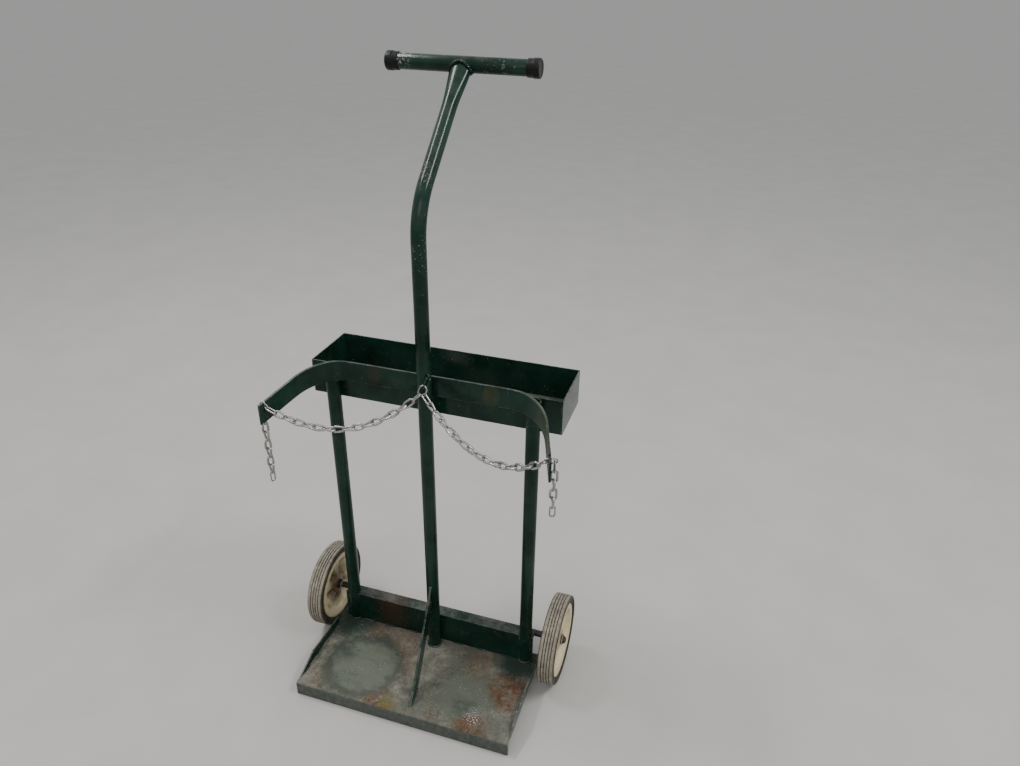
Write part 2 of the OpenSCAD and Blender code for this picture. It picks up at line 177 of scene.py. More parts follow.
def add_piece(bm, name, body, material, nodes=(), crease=32.0, sheet=False):
    """Turns a bmesh into a finished piece that rides on a body and stands for the given nodes."""
    normals = weighed_normals(bm) if sheet else None
    mesh = bpy.data.meshes.new(name)
    bm.to_mesh(mesh)
    bm.free()
    loaded_normals = mesh.attributes.get("custom_normal")
    if loaded_normals:
        mesh.attributes.remove(loaded_normals)
    mesh.materials.clear()
    mesh.materials.append(material)
    mesh.shade_smooth()
    if normals:
        mesh.normals_split_custom_set_from_vertices(normals)
    else:
        mesh.set_sharp_from_angle(angle=math.radians(crease))
    piece = bpy.data.objects.new(name, mesh)
    bpy.context.scene.collection.objects.link(piece)
    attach(piece, body)
    if nodes:
        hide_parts(*nodes)
    return piece


def dress(node, material):
    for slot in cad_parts[node].material_slots:
        slot.material = material


def merged_copy(node):
    bm = bmesh.new()
    bm.from_mesh(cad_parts[node].data)
    bmesh.ops.remove_doubles(bm, verts=bm.verts[:], dist=2e-6)
    return bm


def worn_sheet(node, rounding):
    """A copy of a sheet-metal node with its flat faces whole and its sharp edges rounded off."""
    bm = merged_copy(node)
    bmesh.ops.dissolve_limit(bm, angle_limit=math.radians(0.8), use_dissolve_boundaries=False,
                             verts=bm.verts[:], edges=bm.edges[:])
    sharp = [edge for edge in bm.edges
             if len(edge.link_faces) == 2 and edge.calc_face_angle(0.0) > math.radians(30)]
    bmesh.ops.bevel(bm, geom=sharp, offset=rounding, offset_type="OFFSET", segments=2, profile=0.5,
                    affect="EDGES", clamp_overlap=True, material=-1)
    return bm


def add_sheet(node, rounding, material):
    add_piece(worn_sheet(node, rounding), "worn_" + node, "frame", material, [node], sheet=True)


def outline_edges(bm, points, closed):
    verts = [bm.verts.new((radius, 0.0, along)) for radius, along in points]
    pairs = list(zip(verts, verts[1:]))
    if closed:
        pairs.append((verts[-1], verts[0]))
    for pair in pairs:
        bm.edges.new(pair)
    return verts


def lathe(points, place, steps, rounding=0.0, closed=True):
    """Spins an outline of (radius, distance along the axis) once round, then puts it in place."""
    bm = bmesh.new()
    verts = outline_edges(bm, points, closed)
    if rounding:
        inner = verts if closed else verts[1:-1]
        bmesh.ops.bevel(bm, geom=inner, offset=rounding, offset_type="OFFSET", segments=3,
                        profile=0.5, affect="VERTICES", clamp_overlap=True, material=-1)
    bmesh.ops.spin(bm, geom=bm.verts[:] + bm.edges[:], cent=(0, 0, 0), axis=(0, 0, 1),
                   angle=math.tau, steps=steps, use_merge=True, use_duplicate=False)
    bmesh.ops.remove_doubles(bm, verts=bm.verts[:], dist=1e-6)
    bmesh.ops.dissolve_degenerate(bm, edges=bm.edges[:], dist=1e-6)
    bmesh.ops.transform(bm, matrix=place, verts=bm.verts[:])
    bmesh.ops.recalc_face_normals(bm, faces=bm.faces[:])
    return bm


def axle_place(side, centre):
    """The local Z axis points out along the axle on the given side."""
    return Matrix.Translation(centre) @ Matrix.Rotation(side * math.pi / 2, 4, "Y")


def sweep(bm, points, radii, sides):
    """Draws a round or oval section along a path, with both ends closed."""
    places = []
    for i, point in enumerate(points):
        ahead = (points[min(i + 1, len(points) - 1)] - points[max(i - 1, 0)]).normalized()
        turn = Vector((0, 0, 1)).rotation_difference(ahead).to_matrix().to_4x4()
        wide, deep = radii[i] if isinstance(radii[i], tuple) else (radii[i], radii[i])
        size = Matrix.Diagonal((wide, deep, 1.0, 1.0))
        places.append(Matrix.Translation(point) @ turn @ size)
    ring = bmesh.ops.create_circle(bm, cap_ends=True, radius=1.0, segments=sides, matrix=places[0])
    edges = list({edge for vert in ring["verts"] for edge in vert.link_edges})
    for last, place in zip(places, places[1:]):
        made = bmesh.ops.extrude_edge_only(bm, edges=edges)["geom"]
        verts = [item for item in made if isinstance(item, bmesh.types.BMVert)]
        fresh = set(verts)
        edges = [item for item in made if isinstance(item, bmesh.types.BMEdge)
                 and item.verts[0] in fresh and item.verts[1] in fresh]
        bmesh.ops.transform(bm, matrix=place @ last.inverted(), verts=verts)
    bmesh.ops.holes_fill(bm, edges=edges, sides=sides)
    return bm


def arc_points(centre, across, up, radius, start, end, count):
    """Points on an arc in the plane of two unit vectors, from one angle to another in degrees."""
    angles = [math.radians(start + (end - start) * i / count) for i in range(count + 1)]
    return [centre + radius * (math.cos(a) * across + math.sin(a) * up) for a in angles]


def weld_bead(bm, path, radius, seed):
    """Lays a rippled bead along a path, tapered where the weld starts and stops."""
    chance = random.Random(seed)
    lengths = [0.0]
    for a, b in zip(path, path[1:]):
        lengths.append(lengths[-1] + (b - a).length)
    count = max(4, int(lengths[-1] / (0.55 * radius)))
    points, radii = [], []
    for i in range(count + 1):
        wanted = lengths[-1] * i / count
        k = next(j for j in range(1, len(path)) if lengths[j] >= wanted - 1e-9)
        share = (wanted - lengths[k - 1]) / max(lengths[k] - lengths[k - 1], 1e-9)
        wobble = Vector([chance.uniform(-0.09, 0.09) * radius for _ in range(3)])
        points.append(path[k - 1].lerp(path[k], share) + wobble)
        ripple = 0.84 + 0.2 * abs(math.sin(math.pi * wanted / (1.25 * radius)))
        taper = min(1.0, 0.45 + 0.4 * min(i, count - i))
        radii.append(radius * ripple * taper * chance.uniform(0.94, 1.06))
    sweep(bm, points, radii, 10)


# ---------- node helpers ----------

class Tree:
    """Short calls that add nodes to a node tree and join them up."""

    def __init__(self, tree):
        self.tree = tree

    def add(self, kind, **settings):
        node = self.tree.nodes.new("ShaderNode" + kind)
        for name, value in settings.items():
            setattr(node, name, value)
        return node

    def feed(self, socket, value):
        if isinstance(value, bpy.types.NodeSocket):
            self.tree.links.new(value, socket)
        elif socket.type == "RGBA" and len(value) == 3:
            socket.default_value = (*value, 1.0)
        else:
            socket.default_value = value

    def fill(self, node, values):
        for name, value in values.items():
            self.feed(node.inputs[name], value)
        return node

    def math(self, operation, a, b=0.0, clamp=False):
        node = self.add("Math", operation=operation, use_clamp=clamp)
        self.feed(node.inputs[0], a)
        self.feed(node.inputs[1], b)
        return node.outputs[0]

    def times(self, a, b, clamp=False):
        return self.math("MULTIPLY", a, b, clamp)

    def plus(self, a, b, clamp=False):
        return self.math("ADD", a, b, clamp)

    def minus(self, a, b, clamp=False):
        return self.math("SUBTRACT", a, b, clamp)

    def most(self, a, b):
        return self.math("MAXIMUM", a, b)

    def ramp(self, value, low, high, start=0.0, end=1.0):
        node = self.add("MapRange", interpolation_type="SMOOTHSTEP")
        for i, item in enumerate((value, low, high, start, end)):
            self.feed(node.inputs[i], item)
        return node.outputs[0]

    def vector(self, operation, a, b=(0.0, 0.0, 0.0)):
        node = self.add("VectorMath", operation=operation)
        self.feed(node.inputs[0], a)
        self.feed(node.inputs[1], b)
        return node.outputs[1 if operation in ("LENGTH", "DOT_PRODUCT") else 0]

    def noise(self, place, scale, detail=5.0, roughness=0.55, distortion=0.0):
        values = {"Vector": place, "Scale": scale, "Detail": detail, "Roughness": roughness,
                  "Distortion": distortion}
        return self.fill(self.add("TexNoise"), values).outputs[0]

    def mix(self, share, a, b, blend="MIX"):
        node = self.add("Mix", data_type="RGBA", blend_type=blend)
        for i, item in ((0, share), (6, a), (7, b)):
            self.feed(node.inputs[i], item)
        return node.outputs[2]

    def place(self):
        return self.add("TexCoord").outputs["Object"]

    def facing(self, direction):
        return self.vector("DOT_PRODUCT", self.add("NewGeometry").outputs["Normal"], direction)

    def spot(self, place, centre, weights, inner, outer, ragged):
        return self.group(patch, Place=place, Centre=centre, Weights=weights, Inner=inner,
                          Outer=outer, Ragged=ragged)

    def bump(self, height, strength, distance, normal=None):
        node = self.fill(self.add("Bump"), {"Strength": strength, "Distance": distance, "Height": height})
        if normal:
            self.feed(node.inputs["Normal"], normal)
        return node.outputs[0]

    def surface(self, shader, colour, rough, normal):
        self.fill(shader, {"Base Color": colour, "Roughness": rough, "Normal": normal})

    def group(self, effect, **values):
        node = self.add("Group", node_tree=effect())
        return self.fill(node, {name.replace("_", " "): value for name, value in values.items()}).outputs[0]


def effect_group(name, inputs, build):
    """A shader node group with one output, Mask, built the first time that it is asked for."""
    if name in bpy.data.node_groups:
        return bpy.data.node_groups[name]
    group = bpy.data.node_groups.new(name, "ShaderNodeTree")
    for label, kind, value in inputs:
        socket = group.interface.new_socket(name=label, in_out="INPUT", socket_type="NodeSocket" + kind)
        socket.default_value = value
    group.interface.new_socket(name="Mask", in_out="OUTPUT", socket_type="NodeSocketFloat")
    tree = Tree(group)
    given = group.nodes.new("NodeGroupInput").outputs
    result = group.nodes.new("NodeGroupOutput")
    tree.feed(result.inputs["Mask"], build(tree, given))
    return group


def chips():
    """Ragged chips and flakes: a higher share leaves more of them."""
    def build(tree, given):
        broad = tree.noise(given["Place"], given["Scale"], 3.0, 0.6)
        fine = tree.noise(given["Place"], tree.times(given["Scale"], 5.0), 3.0, 0.7)
        level = tree.plus(broad, tree.times(fine, 0.35))
        start = tree.minus(1.02, tree.times(given["Share"], 0.5))
        return tree.ramp(level, start, tree.plus(start, 0.025))
    return effect_group("Chips", (("Place", "Vector", (0, 0, 0)), ("Scale", "Float", 120.0),
                                  ("Share", "Float", 0.3)), build)


def edge_wear():
    """Rubbed edges, broken up by noise."""
    def build(tree, given):
        rounded = tree.add("Bevel", samples=4)
        tree.feed(rounded.inputs["Radius"], given["Width"])
        flat = tree.add("NewGeometry").outputs["Normal"]
        turned = tree.minus(1.0, tree.vector("DOT_PRODUCT", rounded.outputs[0], flat))
        rub = tree.noise(given["Place"], given["Scale"], 5.0, 0.65)
        start = tree.minus(0.62, tree.times(given["Amount"], 0.5))
        broken = tree.ramp(rub, start, tree.plus(start, 0.16))
        return tree.times(tree.ramp(turned, 0.015, 0.13), broken, True)
    return effect_group("Edge Wear", (("Place", "Vector", (0, 0, 0)), ("Scale", "Float", 60.0),
                                      ("Width", "Float", 0.0015), ("Amount", "Float", 0.5)), build)


def settled_dust():
    """Dust that lies on faces that look up."""
    def build(tree, given):
        flat = tree.add("NewGeometry").outputs["Normal"]
        lying = tree.ramp(tree.vector("DOT_PRODUCT", flat, (0, 0, 1)), 0.25, 0.95)
        cloud = tree.ramp(tree.noise(given["Place"], given["Scale"], 6.0, 0.62, 0.4), 0.3, 0.72)
        return tree.times(tree.times(lying, cloud), given["Amount"], True)
    return effect_group("Settled Dust", (("Place", "Vector", (0, 0, 0)), ("Scale", "Float", 30.0),
                                         ("Amount", "Float", 0.6)), build)


def patch():
    """A ragged spot round a centre; Weights squash or leave out an axis."""
    def build(tree, given):
        away = tree.vector("SUBTRACT", given["Place"], given["Centre"])
        reach = tree.vector("LENGTH", tree.vector("MULTIPLY", away, given["Weights"]))
        rough = tree.minus(tree.noise(given["Place"], 55.0, 6.0, 0.66), 0.5)
        reach = tree.plus(reach, tree.times(rough, given["Ragged"]))
        return tree.ramp(reach, given["Outer"], given["Inner"])
    return effect_group("Patch", (("Place", "Vector", (0, 0, 0)), ("Centre", "Vector", (0, 0, 0)),
                                  ("Weights", "Vector", (1, 1, 1)), ("Inner", "Float", 0.01),
                                  ("Outer", "Float", 0.02), ("Ragged", "Float", 0.02)), build)


def new_material(name, specular=0.5):
    material = bpy.data.materials.new(name)
    material.use_nodes = True
    tree = Tree(material.node_tree)
    shader = material.node_tree.nodes["Principled BSDF"]
    shader.inputs["Specular IOR Level"].default_value = specular
    return material, tree, shader


# ---------- finishes ----------

def enamel_finish(name, colours, dusting=0.35, chipping=0.16, spots=(), extra_chips=()):
    """Dark green gloss enamel with dust, chips, worn edges and stained spots."""
    material, tree, shader = new_material(name, specular=0.20)
    place = tree.place()
    tone = tree.ramp(tree.noise(place, 9.0, 4.0, 0.6), 0.3, 0.7)
    deep = toned(colours.enamel, 0.62)
    light = [c * 1.5 + 0.004 for c in colours.enamel]
    colour = tree.mix(tone, deep, light)
    haze = tree.ramp(tree.noise(place, 42.0, 8.0, 0.7), 0.45, 0.85)
    colour = tree.mix(tree.times(haze, 0.16), colour, toned(colours.dust, 0.5))
    dull = tree.times(haze, 0.22)
    for centre, weights, inner, outer, tint, strength in spots:
        spot = tree.spot(place, centre, weights, inner * MM, outer * MM, 0.022)
        spot = tree.times(spot, strength)
        colour = tree.mix(spot, colour, tint)
        dull = tree.plus(dull, tree.times(spot, 0.45))
    dust = tree.group(settled_dust, Place=place, Scale=34.0, Amount=dusting)
    colour = tree.mix(dust, colour, colours.dust)
    flakes = tree.group(chips, Place=place, Scale=210.0, Share=chipping)
    for centre, weights, inner, outer, share in extra_chips:
        near = tree.spot(place, centre, weights, inner * MM, outer * MM, 0.02)
        more = tree.group(chips, Place=place, Scale=330.0, Share=share)
        flakes = tree.most(flakes, tree.times(near, more))
    rubbed = tree.group(edge_wear, Place=place, Scale=75.0, Width=0.0012, Amount=0.40)
    bare = tree.most(flakes, tree.times(rubbed, 0.75))
    rusting = tree.ramp(tree.noise(place, 160.0, 4.0), 0.35, 0.7)
    bare_tone = tree.mix(rusting, colours.primer, colours.old_rust)
    colour = tree.mix(bare, colour, bare_tone)
    rough = tree.plus(tree.plus(0.17, dull), tree.times(dust, 0.5))
    rough = tree.plus(rough, tree.times(bare, 0.3), True)
    orange_peel = tree.bump(tree.noise(place, 26.0, 2.0, 0.4), 0.22, 0.0009)
    grain = tree.minus(tree.noise(place, 480.0, 3.0), tree.times(bare, 0.6))
    tree.surface(shader, colour, rough, tree.bump(grain, 0.16, 0.00022, orange_peel))
    return material


def plate_finish(colours):
    """The base plate: gritty and rusted, rubbed to faded green where the cylinders stand."""
    material, tree, shader = new_material("worn base plate", specular=0.35)
    place = tree.place()

    def spot(x, y, inner, outer, ragged=0.03):
        return tree.spot(place, (x * MM, y * MM, PLATE_TOP), (1, 1, 0), inner * MM, outer * MM, ragged)

    grit = tree.mix(tree.ramp(tree.noise(place, 70.0, 8.0, 0.7), 0.3, 0.72),
                    toned(colours.grit, 0.62), colours.grit)
    specks = tree.ramp(tree.noise(place, 210.0, 6.0, 0.72), 0.52, 0.66)
    clouds = tree.ramp(tree.noise(place, 17.0, 6.0, 0.62, 0.5), 0.42, 0.62)
    colour = tree.mix(tree.times(specks, 0.75), grit, toned(colours.faded, 0.35))
    colour = tree.mix(tree.times(clouds, 0.55), colour, toned(colours.faded, 0.55))

    strokes = tree.noise(tree.vector("MULTIPLY", place, (1.0, 1.8, 1.0)), 15.0, 5.0, 0.55, 0.6)
    rubbed = tree.mix(tree.ramp(strokes, 0.42, 0.74, 0.0, 0.75), colours.faded,
                      toned(colours.faded, 0.42))
    left_mark = spot(-116, -118, 70, 90, 0.045)
    right_mark = spot(112, -126, 44, 68, 0.055)
    left_edge = tree.times(left_mark, tree.minus(1.0, spot(-112, -120, 52, 82, 0.07)))
    colour = tree.mix(tree.times(left_mark, 0.96), colour, rubbed)
    colour = tree.mix(tree.times(right_mark, 0.82), colour, toned(colours.faded, 0.85))
    colour = tree.mix(tree.times(left_edge, 0.85), colour, toned(colours.faded, 0.28))
    swirl = tree.most(spot(-166, -88, 6, 40, 0.06), spot(-122, -180, 4, 34, 0.06))
    swirl = tree.most(swirl, spot(112, -150, 4, 34, 0.06))
    wet = tree.ramp(strokes, 0.36, 0.52)
    colour = tree.mix(tree.times(tree.times(swirl, wet), 0.7), colour, WET_GREEN)
    rims = tree.most(tree.times(spot(-116, -124, 82, 104, 0.05), tree.minus(1.0, left_mark)),
                     tree.times(spot(112, -126, 62, 88, 0.05), tree.minus(1.0, right_mark)))
    algae = tree.ramp(tree.noise(place, 130.0, 6.0, 0.75), 0.44, 0.6)
    colour = tree.mix(tree.times(tree.times(rims, algae), 0.7), colour, ALGAE)

    rust_tone = tree.mix(tree.ramp(tree.noise(place, 95.0, 8.0, 0.7), 0.34, 0.68),
                         colours.old_rust, colours.rust)
    outside_left = tree.minus(1.0, left_mark, True)
    flaky = tree.ramp(tree.noise(place, 75.0, 8.0, 0.75), 0.40, 0.56)
    rust = tree.times(tree.times(spot(-48, -196, 18, 46), outside_left), 0.95)
    for x, y, inner, outer, strength in (
            (142, -190, 22, 44, 0.95), (180, -82, 20, 52, 1.0), (188, -112, 14, 30, 0.85),
            (-60, -48, 18, 60, 0.55), (-125, -32, 14, 44, 0.6), (-22, -92, 8, 34, 0.5),
            (112, -44, 16, 50, 0.5), (-182, -178, 8, 34, 0.35), (60, -186, 4, 26, 0.3)):
        rust = tree.most(rust, tree.times(tree.times(spot(x, y, inner, outer), outside_left), strength))
    colour = tree.mix(tree.times(rust, tree.plus(0.25, tree.times(flaky, 0.75))), colour, rust_tone)
    moss = tree.times(tree.times(spot(-30, -184, 6, 26), flaky), 0.6)
    colour = tree.mix(moss, colour, MOSS)

    dark = toned(colours.enamel, 1.3)
    # Painted shadow: the rear corners beside the wheels and uprights are darkened towards dark green
    # enamel.
    painted_corner_shadow = tree.most(spot(-190, -14, 26, 70, 0.04), spot(182, -8, 26, 64, 0.04))
    colour = tree.mix(tree.times(painted_corner_shadow, 0.82), colour, dark)
    white_zone = spot(138, -166, 2, 30, 0.045)
    crumbs = tree.ramp(tree.noise(place, 420.0, 4.0, 0.75), 0.54, 0.60)
    colour = tree.mix(tree.times(white_zone, crumbs), colour, WHITE_CRUMBS)
    sparse = tree.ramp(tree.noise(place, 290.0, 4.0, 0.8), 0.60, 0.64)
    colour = tree.mix(tree.times(tree.times(sparse, tree.ramp(tree.noise(place, 30.0), 0.42, 0.6)), 0.6),
                      colour, PALE_SPECKS)

    level = tree.add("SeparateXYZ")
    tree.feed(level.inputs[0], place)
    below = tree.ramp(level.outputs[2], PLATE_TOP - 1.2 * MM, PLATE_TOP - 3.5 * MM)
    lip = tree.mix(tree.ramp(tree.noise(place, 90.0, 8.0, 0.75), 0.2, 0.7, 0.05, 0.62), dark,
                   toned(colours.dust, 0.75))
    colour = tree.mix(below, colour, lip)
    edges = tree.group(edge_wear, Place=place, Scale=70.0, Width=0.0018, Amount=0.75)
    colour = tree.mix(tree.times(edges, 0.7), colour, toned(colours.primer, 0.8))
    rough = tree.minus(0.82, tree.times(left_mark, 0.26))
    rough = tree.minus(rough, tree.times(below, 0.3))
    height = tree.plus(tree.times(tree.noise(place, 190.0, 6.0, 0.7), 0.6),
                       tree.times(tree.times(rust, flaky), 0.8))
    normal = tree.bump(height, 0.5, 0.0006)
    dents = tree.bump(tree.noise(place, 12.0, 2.0), 0.3, 0.0016, normal)
    tree.surface(shader, colour, rough, dents)
    return material


def disc_finish(name, colours, centre, stained_and_shaded):
    """Cream enamel: brighter towards the floor, where painted shade darkens the upper dish; stained near
    the hub, with painted shadow round the axle cap.
    """
    material, tree, shader = new_material(name, specular=0.45)
    place = tree.place()
    tone = tree.ramp(tree.noise(place, 38.0, 6.0, 0.62), 0.3, 0.72)
    colour = tree.mix(tone, toned(colours.cream, 0.78), colours.cream)

    def ring(heart, inner, outer, ragged):
        return tree.spot(place, heart, (0, 1, 1), inner, outer, ragged)

    # Darkening round the hub: on the outer disc a light painted shadow round the axle cap; on the inner
    # disc a heavy olive-brown stain that also carries painted shade on the wheel's inward face.
    hub_stain_and_shade = ring(centre, 0.016, 0.070 if stained_and_shaded else 0.030, 0.03)
    colour = tree.mix(tree.times(hub_stain_and_shade, 0.92 if stained_and_shaded else 0.4), colour, colours.stain_and_shade)
    if stained_and_shaded:
        rusty = ring(centre, 0.014, 0.048, 0.05)
        colour = tree.mix(tree.times(rusty, 0.8), colour, colours.old_rust)
    # Painted shade: a stain-coloured spot over the upper half of the dish, so that the dish reads brighter
    # towards the floor.
    above = Vector(centre) + Vector((0, 0, 0.034))
    grime_and_shade = ring(above, 0.012, 0.052, 0.035)
    colour = tree.mix(tree.times(grime_and_shade, 0.5), colour, colours.stain_and_shade)
    rim = tree.minus(1.0, ring(centre, 0.068, 0.0745, 0.006))
    colour = tree.mix(tree.times(rim, 0.55), colour, colours.stain_and_shade)
    fleck = tree.group(chips, Place=place, Scale=130.0, Share=0.22)
    colour = tree.mix(fleck, colour, colours.old_rust)
    dimples = tree.bump(tree.noise(place, 140.0, 4.0), 0.16, 0.0004)
    tree.surface(shader, colour, tree.ramp(tone, 0.0, 1.0, 0.48, 0.3), dimples)
    return material


def tyre_finish(name, colours, centre):
    """Ribbed rubber: dusty on the ribs, dark brown in the grooves, olive-brown sidewalls."""
    material, tree, shader = new_material(name, specular=0.25)
    place = tree.place()
    away = tree.vector("MULTIPLY", tree.vector("SUBTRACT", place, centre), (0, 1, 1))
    radius = tree.vector("LENGTH", away)
    on_rib = tree.ramp(radius, WHEEL_R - 0.9 * MM, WHEEL_R - 0.25 * MM)
    smear = tree.ramp(tree.noise(place, 24.0, 7.0, 0.66), 0.28, 0.66)
    dusty = tree.mix(tree.ramp(tree.noise(place, 150.0, 6.0, 0.7), 0.3, 0.7),
                     toned(colours.tread, 0.55), toned(colours.tread, 1.15))
    wall = tree.mix(tree.ramp(tree.noise(place, 46.0, 7.0, 0.66), 0.4, 0.8), colours.tyre,
                    toned(colours.tread, 0.24))
    shoulder = tree.times(tree.ramp(radius, 0.083, 0.0875), 0.4)
    wall = tree.mix(tree.times(shoulder, smear), wall, toned(colours.tread, 0.7))
    share = tree.times(on_rib, tree.ramp(smear, 0.0, 1.0, 0.72, 1.0))
    colour = tree.mix(share, wall, dusty)
    cuts = tree.group(chips, Place=place, Scale=90.0, Share=0.2)
    colour = tree.mix(cuts, colour, toned(colours.tyre, 0.5))
    pores = tree.plus(tree.noise(place, 330.0, 5.0, 0.7), tree.times(cuts, -0.8))
    rough = tree.ramp(share, 0.0, 1.0, 0.6, 0.9)
    tree.surface(shader, colour, rough, tree.bump(pores, 0.35, 0.0004))
    return material


def metal_finish(name, tint, grime_tint, shine, grime_share):
    """Bare or plated metal, spotted and dulled."""
    material, tree, shader = new_material(name, specular=0.5)
    place = tree.place()
    blotch = tree.ramp(tree.noise(place, 120.0, 6.0, 0.66), 0.36, 0.7)
    grime_and_shade = tree.group(chips, Place=place, Scale=260.0, Share=grime_share)
    colour = tree.mix(blotch, tint, toned(tint, 0.66))
    colour = tree.mix(grime_and_shade, colour, grime_tint)
    tree.feed(shader.inputs["Metallic"], tree.ramp(grime_and_shade, 0.0, 1.0, 1.0, 0.15))
    rough = tree.ramp(blotch, 0.0, 1.0, shine, shine + 0.22)
    tree.surface(shader, colour, rough, tree.bump(tree.noise(place, 600.0, 4.0), 0.2, 0.0002))
    return material


def rubber_finish(colours):
    """Matte black rubber with scuffs."""
    material, tree, shader = new_material("handle cap rubber", specular=0.22)
    place = tree.place()
    scuff = tree.ramp(tree.noise(place, 75.0, 7.0, 0.7), 0.46, 0.74)
    end_face = tree.math("ABSOLUTE", tree.facing((1, 0, 0)))
    worn = tree.most(tree.times(scuff, 0.35),
                     tree.times(tree.ramp(end_face, 0.9, 0.99), 0.6))
    colour = tree.mix(worn, colours.rubber, SCUFFED_RUBBER)
    rough = tree.ramp(scuff, 0.0, 1.0, 0.36, 0.66)
    tree.surface(shader, colour, rough, tree.bump(tree.noise(place, 420.0, 4.0), 0.22, 0.0003))
    return material


# ---------- pieces ----------

class CART_OT_stage(bpy.types.Operator):
    """Sets up the floor, the lights and the camera"""
    bl_idname = "cart.stage"
    bl_label = "Stage"

    def execute(self, context):
        colours = context.scene.cart_colours
        bm = bmesh.new()
        bmesh.ops.create_grid(bm, x_segments=2, y_segments=2, size=90.0)
        mesh = bpy.data.meshes.new("floor")
        bm.to_mesh(mesh)
        bm.free()
        floor = bpy.data.objects.new("floor", mesh)
        bpy.context.scene.collection.objects.link(floor)
        material, tree, shader = new_material("studio floor", specular=0.2)
        shade = tree.ramp(tree.noise(tree.place(), 5.0, 8.0, 0.62), 0.25, 0.75)
        tree.feed(shader.inputs["Base Color"],
                  tree.mix(shade, toned(colours.floor, 0.93), colours.floor))
        shader.inputs["Roughness"].default_value = 0.9
        mesh.materials.append(material)

        world = bpy.data.worlds.new("studio")
        world.use_nodes = True
        sky = world.node_tree.nodes["Background"]
        sky.inputs["Color"].default_value = (0.93, 0.96, 1.0, 1.0)
        sky.inputs["Strength"].default_value = 0.78
        bpy.context.scene.world = world
        self.lamp("left lamp", (-1.55, 0.15, 3.1), (1.3, 0.35), 46.0)
        self.lamp("right lamp", (2.05, 0.1, 3.1), (1.3, 0.35), 48.0)
        self.lamp("front lamp", (0.9, -3.0, 2.9), (2.2, 1.2), 20.0)
        self.camera()
        return {"FINISHED"}

    def lamp(self, name, place, size, power):
        light = bpy.data.lights.new(name, "AREA")
        light.shape = "RECTANGLE"
        light.size, light.size_y = size
        light.energy = power
        light.color = (1.0, 0.985, 0.96)
        holder = bpy.data.objects.new(name, light)
        holder.location = place
        aim = Vector((0, 0, 0.35)) - Vector(place)
        holder.rotation_euler = aim.to_track_quat("-Z", "Y").to_euler()
        bpy.context.scene.collection.objects.link(holder)

    def camera(self):
        yaw, pitch, roll = (math.radians(a) for a in CAMERA_YAW_PITCH_ROLL)
        ahead = Vector((-math.sin(yaw) * math.cos(pitch), math.cos(yaw) * math.cos(pitch),
                        math.sin(pitch)))
        level = ahead.cross(Vector((0, 0, 1))).normalized()
        upright = level.cross(ahead)
        right = math.cos(roll) * level + math.sin(roll) * upright
        up = math.cos(roll) * upright - math.sin(roll) * level
        data = bpy.data.cameras.new("camera")
        data.sensor_width = 36.0
        data.lens = CAMERA_LENS
        camera = bpy.data.objects.new("camera", data)
        turn = Matrix((right, up, -ahead)).transposed().to_4x4()
        camera.matrix_world = Matrix.Translation(CAMERA_PLACE) @ turn
        bpy.context.scene.collection.objects.link(camera)
        bpy.context.scene.camera = camera


class CART_OT_base(bpy.types.Operator):
    """Builds the base plate, its gussets, the centre brace and the rear angle"""
    bl_idname = "cart.base"
    bl_label = "Base"

    def execute(self, context):
        sizes, colours = context.scene.cart_sizes, context.scene.cart_colours
        add_sheet("base_plate", sizes.edge_round, plate_finish(colours))
        angle_spots = (((-0.10, 0.008, ANGLE_TOP), (1, 0.4, 0.4), 4, 60, colours.old_rust, 0.5),
                       ((0.07, 0.008, ANGLE_TOP), (1, 1, 1), 6, 44, colours.enamel, 0.75))
        angle = enamel_finish("dusty angle enamel", colours, dusting=0.42, chipping=0.3, spots=angle_spots)
        add_sheet("rear_angle", sizes.edge_round, angle)
        worn = enamel_finish("scraped gusset enamel", colours, dusting=0.6, chipping=0.36)
        for node in ("left_side_gusset", "right_side_gusset", "centre_brace"):
            add_sheet(node, sizes.edge_round, worn)
        return {"FINISHED"}


